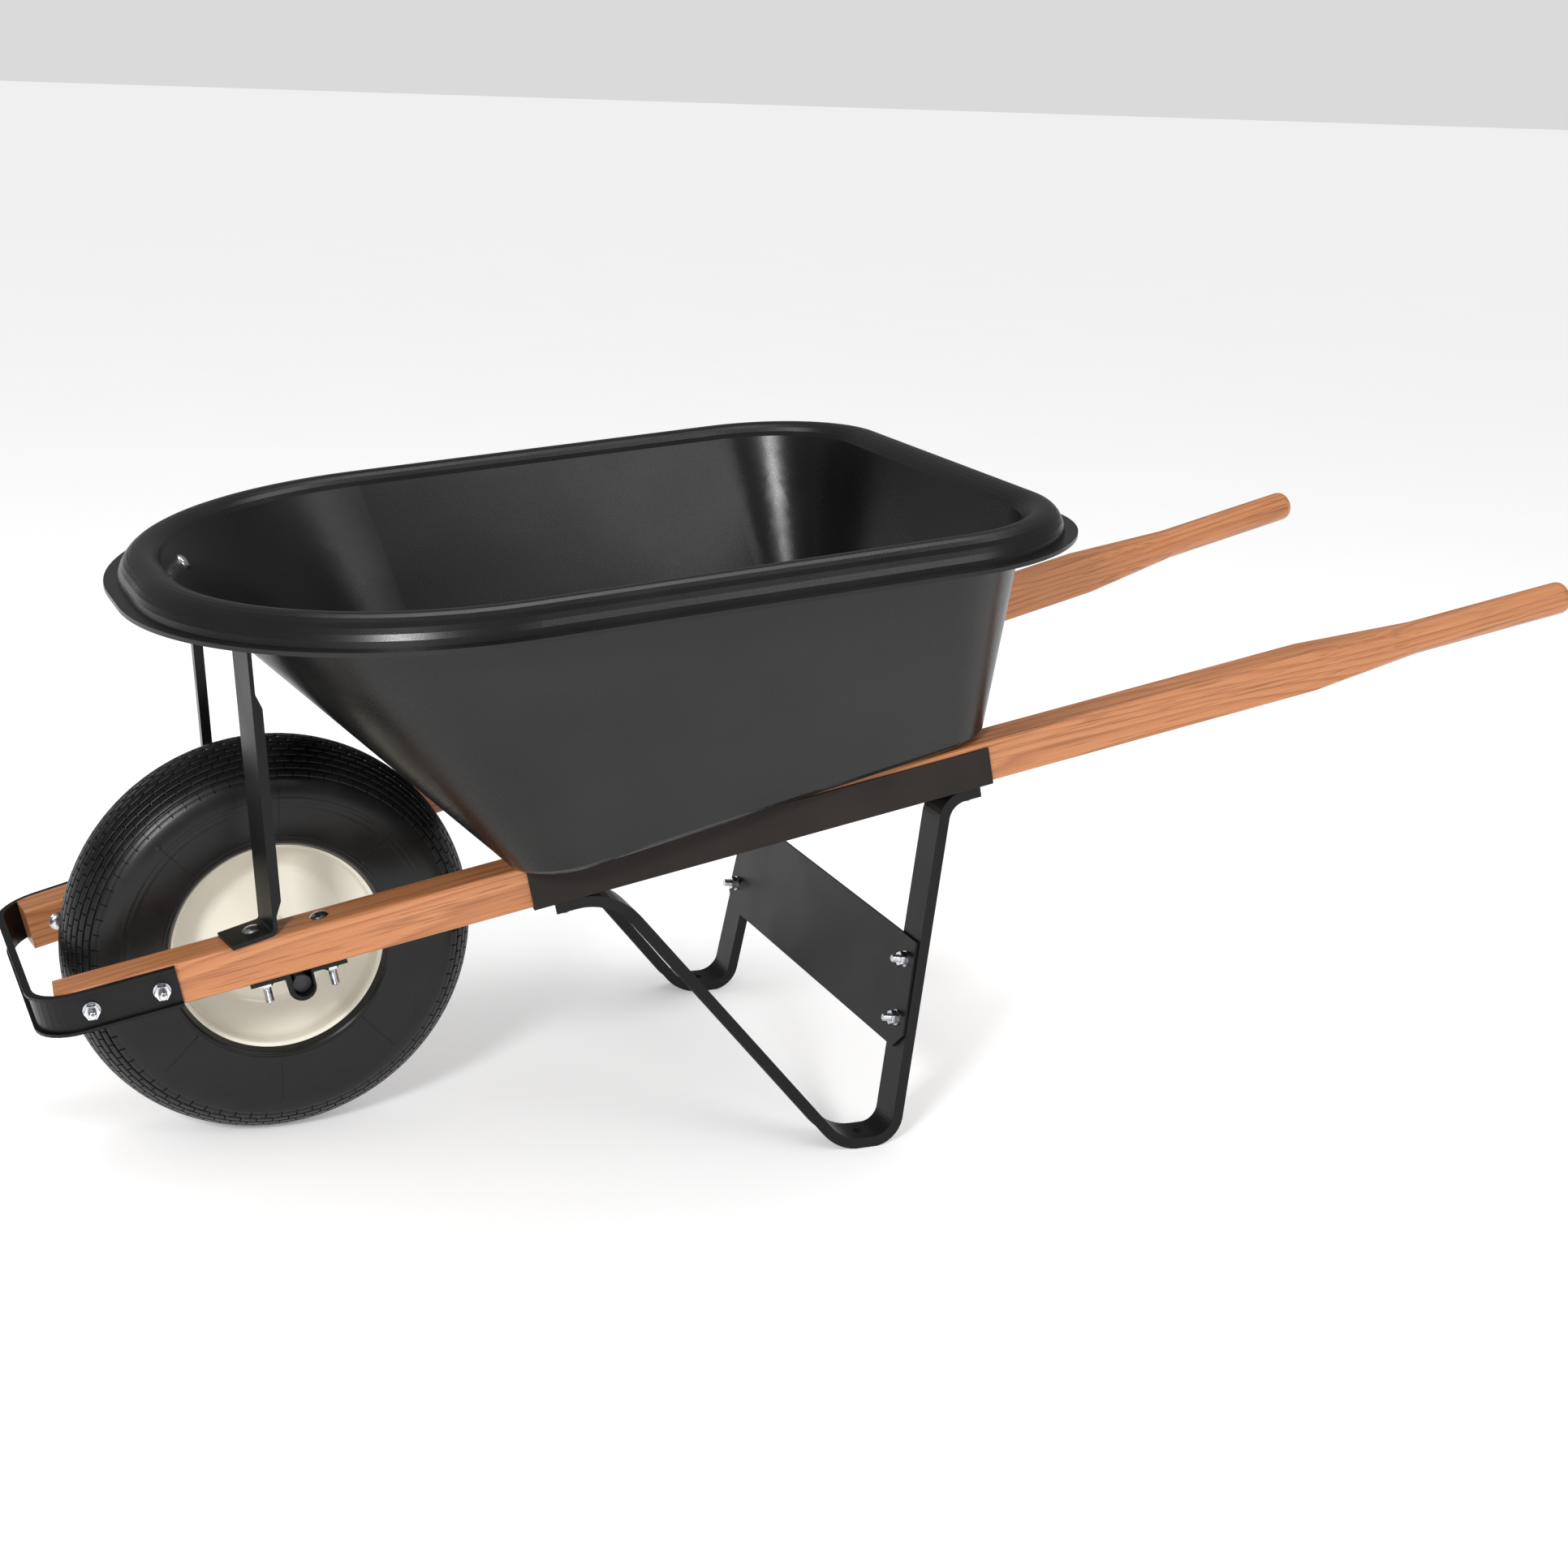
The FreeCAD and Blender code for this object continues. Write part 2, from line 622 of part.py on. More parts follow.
def side_channel():
    low = -HANDLE_H / 2 - CHANNEL_T
    out = -HANDLE_W / 2 - CHANNEL_T
    plate = block(CHANNEL_START, CHANNEL_END, out, -HANDLE_W / 2, low,
                  HANDLE_H / 2 - CHANNEL_TOP_STEP)
    flange = block(CHANNEL_START, CHANNEL_END, out, HANDLE_W / 2 - 2, low, -HANDLE_H / 2)
    angle = plate.fuse(flange).removeSplitter()
    heel = [e for e in angle.Edges
            if abs(e.BoundBox.YMax - out) < 1e-6 and abs(e.BoundBox.ZMax - low) < 1e-6]
    return placed(angle.makeFillet(CHANNEL_T * 0.8, heel), RAIL)


def leg_points():
    low = -HANDLE_H / 2 - CHANNEL_T
    foot_y, web = -FOOT_Y, LIP_D - FOOT_FLAT
    return [on_rail(LEG_FRONT_END, 0, low), on_rail(LEG_FRONT_BEND, 0, low),
            V(FOOT_FRONT_X, foot_y, web), V(FOOT_REAR_X, foot_y, web),
            on_rail(LEG_REAR_BEND, 0, low), on_rail(LEG_REAR_END, 0, low)]


def leg():
    points = leg_points()
    radii = (BEND_FRONT_R, BEND_TOE_R, BEND_HEEL_R, BEND_REAR_R)
    level_inward = V(RAIL_INWARD.x, RAIL_INWARD.y, 0)
    laterals = [RAIL_INWARD, Y_AXIS, level_inward, Y_AXIS, RAIL_INWARD]
    shape = swept(channel_profile(STRAP_W, STRAP_T, LIP_D), rounded_path(points, radii, 8), laterals)
    floor = block(FOOT_FRONT_X - STRAP_W, FOOT_REAR_X + STRAP_W, -FOOT_Y - STRAP_W, STRAP_W - FOOT_Y,
                  -LIP_D, 0)
    shape = shape.cut(floor)
    return drill(shape, V(FOOT_HOLE_X, -FOOT_Y, LIP_D), Z_AXIS, FOOT_HOLE_R, 3 * LIP_D)


def strut_line(z):
    """Point on the front face of the left rear leg strut at height z."""
    points = leg_points()
    low, high = points[3], points[4]
    return low + (high - low) * ((z - low.z) / (high.z - low.z))


def cross_brace():
    """Plate across the front faces of the two rear struts, ends following the lean."""
    low, high = strut_line(BRACE_LOW), strut_line(BRACE_HIGH)
    reach = STRAP_W / 2 - STRAP_T
    lift = high.z - low.z
    corner = BRACE_CORNER / lift
    near = [(0, low.y - reach + BRACE_CORNER), (corner, low.y - reach), (1, high.y - reach)]
    outline = near + [(share, -y) for share, y in near[::-1]]
    points = [V(low.x + (high.x - low.x) * share, y, low.z + lift * share) for share, y in outline]
    face = Part.Face(polygon(points))
    ahead = V(-(high.z - low.z), 0, high.x - low.x).normalize()
    return face.extrude(ahead * BRACE_T), ahead


# --- assembly ------------------------------------------------------------------------

def fasteners(name, sets):
    """Three nodes, bolts, washers and nuts, from the left sets and their mirror images."""
    nodes = {}
    for kind, pieces in zip(("bolts", "washers", "nuts"), zip(*sets)):
        nodes[name + "_" + kind] = Part.makeCompound([*pieces, *map(mirrored, pieces)])
    return nodes


def pair(name, left):
    return {name + "_left": left, name + "_right": mirrored(left)}


def front_bolts(nodes):
    """Bolts through the nose guard, the handle ends, the axle brackets and the strut pads."""
    beam, guard = nodes["handle"], nodes["nose_guard"]
    guard_sets = []
    for along in GUARD_BOLTS:
        start = on_rail(along, HANDLE_W / 2)
        guard_sets.append(bolt_set(start, RAIL_INWARD * -1, HANDLE_W + STRAP_T, THREAD_OUT))
        beam = drill(beam, start, RAIL_INWARD)
        guard = drill_both(guard, start, RAIL_INWARD)
    bracket, strut = nodes["axle_bracket"], nodes["tray_strut"]
    axle_sets = []
    for along, pad in ((AXLE_ALONG - BRACKET_BOLT, STRUT_T), (AXLE_ALONG + BRACKET_BOLT, 0.0)):
        start = on_rail(along, 0, HANDLE_H / 2 + pad)
        grip = HANDLE_H + pad + BRACKET_T
        axle_sets.append(bolt_set(start, RAIL_UP * -1, grip, THREAD_LONG - NUT_H))
        beam = drill(beam, start, RAIL_UP)
        bracket = drill(bracket, start, RAIL_UP)
        if pad:
            strut = drill(strut, start, RAIL_UP, reach=2 * STRUT_PAD_REAR)
    nodes.update(handle=beam, nose_guard=guard, axle_bracket=bracket, tray_strut=strut)
    return {**fasteners("guard", guard_sets), **fasteners("axle_bracket", axle_sets)}


def tray_bolts(nodes, touch, outward):
    """Bolts down through the tray floor and one through each strut tab."""
    tray, beam = nodes["tray"], nodes["handle"]
    channel, stand = nodes["side_channel"], nodes["leg"]
    sets = []
    for along in FLOOR_BOLTS:
        start = on_rail(along, 0, HANDLE_H / 2 + TRAY_T)
        grip = TRAY_T + HANDLE_H + CHANNEL_T + STRAP_T
        sets.append(bolt_set(start, RAIL_UP * -1, grip, THREAD_OUT))
        beam = drill(beam, start, RAIL_UP)
        channel = drill(channel, start, RAIL_UP)
        stand = drill(stand, start, RAIL_UP, reach=2 * HANDLE_H)
        tray = drill_both(tray, start, RAIL_UP, reach=2 * HANDLE_H)
    inner_face = touch - outward * TRAY_T
    strut_set = bolt_set(inner_face, outward, TRAY_T + STRUT_T, THREAD_OUT)
    strut = drill(nodes["tray_strut"], touch, outward, reach=STRUT_TAB)
    tray = drill_both(tray, touch, outward, reach=STRUT_TAB)
    bolts = [pieces[0] for pieces in (*sets, strut_set)]
    tray = tray.cut([*bolts, *map(mirrored, bolts)])     # heads bed into the moulding
    nodes.update(tray=tray, handle=beam, side_channel=channel, leg=stand, tray_strut=strut)
    return {**fasteners("floor", sets), **fasteners("strut", [strut_set])}


def brace_bolts(nodes, ahead):
    """Bolts joining the cross brace to the rear struts of the legs."""
    brace, stand = nodes["cross_brace"], nodes["leg"]
    sets = []
    for z in BRACE_BOLT_Z:
        start = strut_line(z)
        sets.append(bolt_set(start - ahead * STRAP_T, ahead, STRAP_T + BRACE_T, THREAD_OUT))
        brace = drill_both(brace, start, ahead, reach=LIP_D)
        stand = drill(stand, start, ahead, reach=LIP_D)
    nodes.update(cross_brace=brace, leg=stand)
    return fasteners("brace", sets)


def frame_nodes():
    tray = make_tray()
    brace, ahead = cross_brace()
    strut, touch, outward = tray_strut(tray)
    nodes = {"tray": tray, "handle": handle(), "nose_guard": nose_guard(), "leg": leg(),
             "side_channel": side_channel(), "cross_brace": brace, "tray_strut": strut,
             "axle_bracket": axle_bracket()}
    bolts = {**front_bolts(nodes), **tray_bolts(nodes, touch, outward), **brace_bolts(nodes, ahead)}
    for name in ("handle", "side_channel", "leg", "axle_bracket", "tray_strut"):
        nodes.update(pair(name, nodes.pop(name)))
    return {**nodes, **bolts}


def axle_nodes():
    axle = rod(AXLE_R, AXLE - Y_AXIS * AXLE_HALF_L, AXLE + Y_AXIS * AXLE_HALF_L)
    axle = axle.makeChamfer(1.0, [e for e in axle.Edges if len(e.Vertexes) == 1])
    bracket_face = on_rail(AXLE_ALONG - AXLE_R - SPACER_T, STRAP_W / 2).y + SIDE_GAP / 2
    wheel_face_y = -(HUB_HALF_W + BEARING_FLANGE + SIDE_GAP)
    spacer = ring(AXLE_R + SPACER_T, AXLE_R + THREAD_GAP, AXLE + Y_AXIS * bracket_face,
                  AXLE + Y_AXIS * wheel_face_y)
    return {"axle": axle, **pair("axle_spacer", spacer)}


def wheel_nodes():
    hub, bearing, fitting = hub_parts()
    rim_right = rim_half()
    tube = tube_ring(0).cut(tube_ring(TUBE_T))
    stem, cap, rim_left, tube = valve_parts(mirrored(rim_right), tube)
    return {"hub_tube": hub, "rim_half_left": rim_left, "rim_half_right": rim_right,
            "inner_tube": tube, "valve_stem": stem, "valve_cap": cap, "grease_fitting": fitting,
            "tyre": turned(tyre_section()), "bearing_right": bearing,
            "bearing_left": mirrored(bearing)}


def export(nodes):
    """Centre the length of the object on x = 0 and write one file per node."""
    front = nodes["nose_guard"].optimalBoundingBox(False, False).XMin
    rear = nodes["handle_left"].optimalBoundingBox(False, False).XMax
    for name, shape in nodes.items():
        shape.translate(V(-(front + rear) / 2, 0, 0))
        shape.exportStep("parts/" + name + ".step")


export({**frame_nodes(), **axle_nodes(), **wheel_nodes()})
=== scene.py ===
import math

import bmesh
import bpy
import numpy as np
from mathutils import Matrix, Vector


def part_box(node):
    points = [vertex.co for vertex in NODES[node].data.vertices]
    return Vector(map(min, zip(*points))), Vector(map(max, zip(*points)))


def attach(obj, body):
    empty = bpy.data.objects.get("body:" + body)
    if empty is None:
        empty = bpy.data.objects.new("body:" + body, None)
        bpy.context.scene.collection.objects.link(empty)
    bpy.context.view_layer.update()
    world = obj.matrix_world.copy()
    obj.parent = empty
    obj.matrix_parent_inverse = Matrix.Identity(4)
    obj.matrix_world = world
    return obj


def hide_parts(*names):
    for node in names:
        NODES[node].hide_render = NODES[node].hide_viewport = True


# Wheelbarrow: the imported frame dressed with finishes, a modelled tyre and threaded bolts.
# Places are in metres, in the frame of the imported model. Tyre and bolt sizes are in
# millimetres.

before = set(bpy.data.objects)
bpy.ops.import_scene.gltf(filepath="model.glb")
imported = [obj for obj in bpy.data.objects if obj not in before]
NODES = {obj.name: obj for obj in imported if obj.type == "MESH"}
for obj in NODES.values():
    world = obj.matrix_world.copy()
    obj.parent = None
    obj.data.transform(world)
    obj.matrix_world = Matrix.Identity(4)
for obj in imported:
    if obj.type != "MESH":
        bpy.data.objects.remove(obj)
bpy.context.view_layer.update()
MM = 0.001
UP = Vector((0, 0, 1))

# --- camera -----------------------------------------------------------------------
CAMERA_PLACE = (-1.02508, -2.34957, 1.07637)
CAMERA_TURN = (73.347, -2.489, -22.987)
CAMERA_LENS = 58.56
CAMERA_SENSOR = 36.0

# --- studio -----------------------------------------------------------------------
ROOM_LIGHT = 0.70          # room strength as the floor and matt surfaces see it
ROOM_GLOSS = 0.20          # room strength as reflections see it
FLOOR_HALF = 30.0
FLOOR_GLOW = 0.25
# name, place, target, size, watts, share of the light that shows in reflections
LIGHTS = (
    ("key", (-2.3, -2.6, 1.9), (-0.3, 0.0, 0.3), (0.55, 0.55), 70.0, 0.4),
    ("top", (0.1, 0.4, 2.6), (0.0, 0.0, 0.4), (2.6, 0.5), 20.0, 1.3),
    ("front", (1.4, -3.2, 2.4), (0.0, 0.3, 0.5), (2.2, 1.2), 26.0, 1.1),
)

# --- tyre, as the CAD solid has it --------------------------------------------------
TYRE_R = 200.0
TYRE_HALF_W = 53.6
SECTION_R = 150.6          # radius at which the tyre is widest
TREAD_ANGLE = 64.0
TREAD_RIBS = 15
GROOVE_DEPTH = 2.0
GROOVE_SHARE = 0.3
GROOVE_SLOPE = 0.07        # part of a rib pitch taken by each groove wall
SHOULDER = 0.3             # part of a groove wall over which a rib's edge is rounded
SHOULDER_SINKS = (0.45, 0.1)    # depth of that rounding under the crown, outside and inside
RIB_FLAT = 0.12            # part of a rib pitch from a rib's edge to its flat top
BEAD_R = 106.5             # where the tyre meets the rim flange
BEAD_HALF_W = 49.0
BEAD_ANGLE = 0.83          # section angle of the bead, as a share of half a turn
SIDE_STEPS = 44
SIDE_DROP = 1.15           # power of the sidewall's way down to the bead, for its radius
SIDE_TUCK = 2.2            # the same for its width
TOE = ((103.4, 44.0), (102.8, 40.0), (102.8, 31.0), (108.5, 29.0))   # bead under the flange
CASING_T = 6.0
INNER_ANGLE = 0.80         # where the inner wall ends, as a share of half a turn
INNER_STEPS = 12

# --- tyre, in the visual model only ---------------------------------------------------
CUTS = 72                  # cross cuts round each rib
CUT_W = 1.1
CUT_WALL = 0.3
CUT_DEPTH = 1.5
RIDGE_EVERY = 9            # a mould line crosses the sidewall at every ninth cut
RIDGE_H = 0.35
RIDGE_SPAN = (0.16, 0.76)  # where the mould line runs, as shares of the way down the sidewall
BEAD_LINES = (0.30, 0.36, 0.80, 0.86)   # moulded rings, as shares of the way down the sidewall
LINE_H = 0.5
LINE_SHARE = 0.012         # half width of such a ring, as a share of the same way
LINE_FADE = 0.4            # radians past the tread over which the rings reach full height
TYRE_CREASE = 50.0         # sharper edges stay sharp, in degrees

# --- bolts: shank and head as the CAD solids have them, thread in the visual model only ---
BOLT_R = 4.0
HEAD_R = 9.0
HEAD_H = 4.0
THREAD_PITCH = 1.25
THREAD_DEPTH = 0.62
THREAD_L = 22.0
THREAD_STEPS = 6           # rings per turn of thread
THREAD_SHARP = 1.3
THREAD_PLAY = 0.02         # crests stay this far inside the bolt's own radius
HEAD_DOME = 0.97           # dome radius as a share of the head's
HEAD_FULL = 0.9            # power of the sine that gives the dome its fullness
HEAD_STEPS = 9
HEAD_EDGE = (0.86, 0.985)  # height and lower radius of the rim under the dome, as shares
TIP_TAPER = 1.0            # chamfer at the tip
NECK_L = 1.0               # least plain length between head and thread
HEAD_RIM = 0.98            # points at least this share of the widest off the axis are its rim
BOLT_SIDES = 28
BOLT_CREASE = 50.0

# --- colours ---------------------------------------------------------------------------
CREAM = ((0.80, 0.765, 0.655, 1), (0.82, 0.785, 0.675, 1))
OAK_FIGURE = ((0.0, (0.49, 0.200, 0.078, 1)), (0.55, (0.44, 0.168, 0.062, 1)),
              (0.86, (0.29, 0.096, 0.032, 1)), (1.0, (0.47, 0.186, 0.070, 1)))
OAK_FIBRE = (0.54, 0.240, 0.104, 1)
OAK_DRIFT = (0.43, 0.155, 0.056, 1)
OAK_PORE = (0.19, 0.066, 0.025, 1)
PLASTIC_TINT = (1.0, 1.0, 0.97)
BLOOM_TINT = (1.0, 1.0, 0.94)
CHANNEL_TINT = (1.2, 0.95, 0.85)
ZINC = (0.80, 0.82, 0.86)
AXLE_STEEL = (0.075, 0.075, 0.08)
SPACER_GREY = (0.45, 0.45, 0.46)
BUSH_GREY = (0.5, 0.5, 0.52)
PLASTIC_LEVELS = (0.0060, 0.0095)
POWDER_LEVEL = 0.0045
CHANNEL_LEVEL = 0.018
TYRE_LEVEL = 0.0055
RUBBER_LEVEL = 0.012
CAP_LEVEL = 0.014
FLOOR_LEVELS = (0.90, 0.93)
LATHE_FINE, LATHE_COARSE = 900.0, 600.0    # turning marks, as wave scales
NOISE_BAND = (0.3, 0.7)    # where most of a noise's values lie
CLOUD_BAND = (0.35, 0.7)   # the same, kept longer at the first colour


# --- node materials -------------------------------------------------------------------

class Finish:
    """A node material. Values alike all over go on the shader; the rest is built with add()."""

    def __init__(self, name, **uniform):
        self.material = bpy.data.materials.new(name)
        self.material.use_nodes = True
        self.tree = self.material.node_tree
        self.shader = self.tree.nodes["Principled BSDF"]
        for socket, value in uniform.items():
            self.shader.inputs[socket.replace("_", " ")].default_value = value
        self.place = self.add("TexCoord", {}, "Object")

    def add(self, kind, inputs, output=0, **settings):
        node = self.tree.nodes.new("ShaderNode" + kind)
        for name, value in settings.items():
            setattr(node, name, value)
        for name, value in inputs.items():
            if isinstance(value, bpy.types.NodeSocket):
                self.tree.links.new(value, node.inputs[name])
            else:
                node.inputs[name].default_value = value
        return node.outputs[output]

    def noise(self, scale, detail=3.0, where=None, rough=0.5):
        return self.add("TexNoise", {"Vector": where or self.place, "Scale": scale,
                                     "Detail": detail, "Roughness": rough}, "Fac")

    def stretched(self, scale, turn, shift):
        """Place turned so that its X runs along a piece, then scaled along each axis."""
        turned = self.add("Mapping", {"Vector": self.place, "Location": shift,
                                      "Rotation": turn})
        return self.add("Mapping", {"Vector": turned, "Scale": scale})

    def span(self, value, low, high, to_low=0.0, to_high=1.0):
        return self.add("MapRange", {"Value": value, "From Min": low, "From Max": high,
                                     "To Min": to_low, "To Max": to_high})

    def maths(self, operation, a, b=0.0):
        return self.add("Math", {0: a, 1: b}, operation=operation)

    def blend(self, share, first, second):
        return self.add("Mix", {0: share, 6: first, 7: second}, 2, data_type="RGBA")

    def ramp(self, value, stops):
        node = self.tree.nodes.new("ShaderNodeValToRGB")
        self.tree.links.new(value, node.inputs["Fac"])
        elements = node.color_ramp.elements
        while len(elements) < len(stops):
            elements.new(0.5)
        for element, (position, colour) in zip(elements, stops):
            element.position = position
            element.color = colour
        return node.outputs["Color"]

    def bump(self, height, distance, strength=1.0, under=None):
        inputs = {"Height": height, "Distance": distance, "Strength": strength}
        if under:
            inputs["Normal"] = under
        return self.add("Bump", inputs, "Normal")

    def drive(self, **sockets):
        for name, value in sockets.items():
            self.tree.links.new(value, self.shader.inputs[name.replace("_", " ")])
        return self.material


def grey(level, tint=(1.0, 1.0, 1.0)):
    return (level * tint[0], level * tint[1], level * tint[2], 1.0)


def moulded_plastic(name):
    """Black moulded polyethylene: satin, with faint orange peel and slow waves in the wall."""
    f = Finish(name, Specular_IOR_Level=0.36)
    clouds = f.noise(9.0, 4.0)
    specks = f.noise(700.0, 2.0)
    low, high = PLASTIC_LEVELS
    colour = f.blend(f.span(clouds, *CLOUD_BAND), grey(low, PLASTIC_TINT),
                     grey(high, PLASTIC_TINT))
    rough = f.maths("ADD", f.span(clouds, *NOISE_BAND, 0.25, 0.32),
                    f.span(specks, *NOISE_BAND, -0.02, 0.03))
    waves = f.bump(f.noise(7.0, 1.0), 1.6 * MM)
    peel = f.bump(specks, 0.06 * MM, 0.6, waves)
    return f.drive(Base_Color=colour, Roughness=rough, Normal=peel)


def powder_coat(name, level=POWDER_LEVEL, tint=(1.0, 1.0, 1.0), rough=0.36, shine=0.24):
    """Baked powder coat on steel: fine even texture with a soft gloss."""
    f = Finish(name, Specular_IOR_Level=shine)
    clouds = f.noise(14.0, 3.0)
    grains = f.noise(1100.0, 3.0)
    colour = f.blend(f.span(clouds, *CLOUD_BAND), grey(level * 0.85, tint),
                     grey(level * 1.2, tint))
    gloss = f.maths("ADD", f.span(clouds, *NOISE_BAND, rough - 0.04, rough + 0.05),
                    f.span(grains, *NOISE_BAND, -0.03, 0.04))
    return f.drive(Base_Color=colour, Roughness=gloss, Normal=f.bump(grains, 0.12 * MM, 0.6))


def gloss_paint(name):
    """Cream enamel on stamped steel."""
    f = Finish(name, Specular_IOR_Level=0.5, Coat_Weight=0.5, Coat_Roughness=0.06)
    clouds = f.noise(11.0, 2.0)
    colour = f.blend(f.span(clouds, *NOISE_BAND), *CREAM)
    rough = f.span(f.noise(40.0, 2.0), *NOISE_BAND, 0.20, 0.25)
    normal = f.bump(f.noise(140.0, 2.0), 0.06 * MM, 0.5)
    return f.drive(Base_Color=colour, Roughness=rough, Normal=normal)


def rubber(name, level, rough):
    """Black rubber, a little greyer where the mould left bloom."""
    f = Finish(name, Specular_IOR_Level=0.34)
    clouds = f.noise(26.0, 5.0)
    grains = f.noise(900.0, 2.0)
    colour = f.blend(f.span(clouds, 0.4, 0.75, 0.0, 0.5), grey(level),
                     grey(level * 2.2, BLOOM_TINT))
    gloss = f.maths("ADD", f.span(clouds, *NOISE_BAND, rough - 0.05, rough + 0.06),
                    f.span(grains, *NOISE_BAND, -0.03, 0.03))
    return f.drive(Base_Color=colour, Roughness=gloss, Normal=f.bump(grains, 0.05 * MM, 0.6))


def bare_metal(name, colour, rough, lathe=0.0):
    """Plated or turned steel with fine uneven gloss."""
    f = Finish(name, Metallic=1.0)
    clouds = f.noise(160.0, 4.0)
    fine = f.noise(2400.0, 2.0)
    dark = tuple(c * 0.78 for c in colour) + (1.0,)
    tone = f.blend(f.span(clouds, *CLOUD_BAND), dark, tuple(colour) + (1.0,))
    gloss = f.span(clouds, *NOISE_BAND, rough - 0.07, rough + 0.09)
    normal = f.bump(fine, 0.02 * MM, 0.5)
    if lathe:
        rings = f.add("TexWave", {"Vector": f.place, "Scale": lathe, "Distortion": 0.4},
                      "Fac", bands_direction="Y")
        normal = f.bump(rings, 0.03 * MM, 0.4, normal)
    return f.drive(Base_Color=tone, Roughness=gloss, Normal=normal)


def oak(name, turn, seed):
    """Varnished oak with the grain along the piece: broad figure, growth lines and pores."""
    f = Finish(name, Specular_IOR_Level=0.4, Coat_Weight=0.15, Coat_Roughness=0.3)
    shift = (seed, seed * 0.7, seed * 0.3)
    drift = f.noise(1.0, 2.0, f.stretched((1.1, 9.0, 9.0), turn, shift))
    line = f.stretched((2.2, 34.0, 34.0), turn, shift)
    sway = f.add("CombineXYZ", {"Y": f.maths("MULTIPLY", drift, 5.0),
                                "Z": f.maths("MULTIPLY", drift, 4.0)})
    bent = f.add("VectorMath", {0: line, 1: sway}, "Vector", operation="ADD")
    rings = f.add("TexWave", {"Vector": bent, "Scale": 1.0, "Distortion": 2.4, "Detail": 3.0,
                              "Detail Scale": 1.4, "Detail Roughness": 0.55},
                  "Fac", wave_type="RINGS", rings_direction="X", wave_profile="SAW")
    fibre = f.noise(1.0, 4.0, f.stretched((7.0, 900.0, 900.0), turn, shift), 0.6)
    pores = f.noise(1.0, 2.0, f.stretched((16.0, 760.0, 760.0), turn, shift), 0.5)
    pits = f.span(pores, 0.56, 0.68)
    base = f.ramp(rings, OAK_FIGURE)
    streaked = f.blend(f.span(fibre, *CLOUD_BAND, 0.0, 0.55), base, OAK_FIBRE)
    toned = f.blend(f.span(drift, *NOISE_BAND, 0.0, 0.35), streaked, OAK_DRIFT)
    colour = f.blend(f.maths("MULTIPLY", pits, 0.6), toned, OAK_PORE)
    rough = f.maths("ADD", f.span(fibre, *NOISE_BAND, 0.36, 0.44), f.maths("MULTIPLY", pits, 0.15))
    ripple = f.bump(fibre, 0.08 * MM, 0.5)
    normal = f.bump(f.maths("SUBTRACT", 0.0, pits), 0.12 * MM, 0.5, ripple)
    return f.drive(Base_Color=colour, Roughness=rough, Normal=normal)


# --- meshes ------------------------------------------------------------------------

def new_piece(name, vertices, faces, material, body, replaced, sharp):
    """A smooth piece on one body of the model, in place of the CAD nodes in replaced."""
    mesh = bpy.data.meshes.new(name)
    mesh.from_pydata(vertices, [], faces)
    mesh.update()
    mesh.polygons.foreach_set("use_smooth", [True] * len(mesh.polygons))
    mesh.set_sharp_from_angle(angle=math.radians(sharp))
    mesh.materials.append(material)
    piece = bpy.data.objects.new(name, mesh)
    bpy.context.scene.collection.objects.link(piece)
    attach(piece, body)
    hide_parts(*replaced)
    return piece


def grid_faces(rows, columns, start=0, wrap_rows=False):
    """Quads of a grid that closes on itself along its columns, and along its rows if asked."""
    faces = []
    for i in range(rows if wrap_rows else rows - 1):
        low, high = start + i * columns, start + (i + 1) % rows * columns
        for j in range(columns):
            after = (j + 1) % columns
            faces.append((low + j, low + after, high + after, high + j))
    return faces


# --- tyre ------------------------------------------------------------------------------

def crown(angle, sink=0.0):
    """Radius and place across of the outer skin at a section angle, sink under its crown."""
    tall, wide = TYRE_R - SECTION_R - sink, TYRE_HALF_W - sink
    return SECTION_R + tall * math.cos(angle), wide * math.sin(angle)


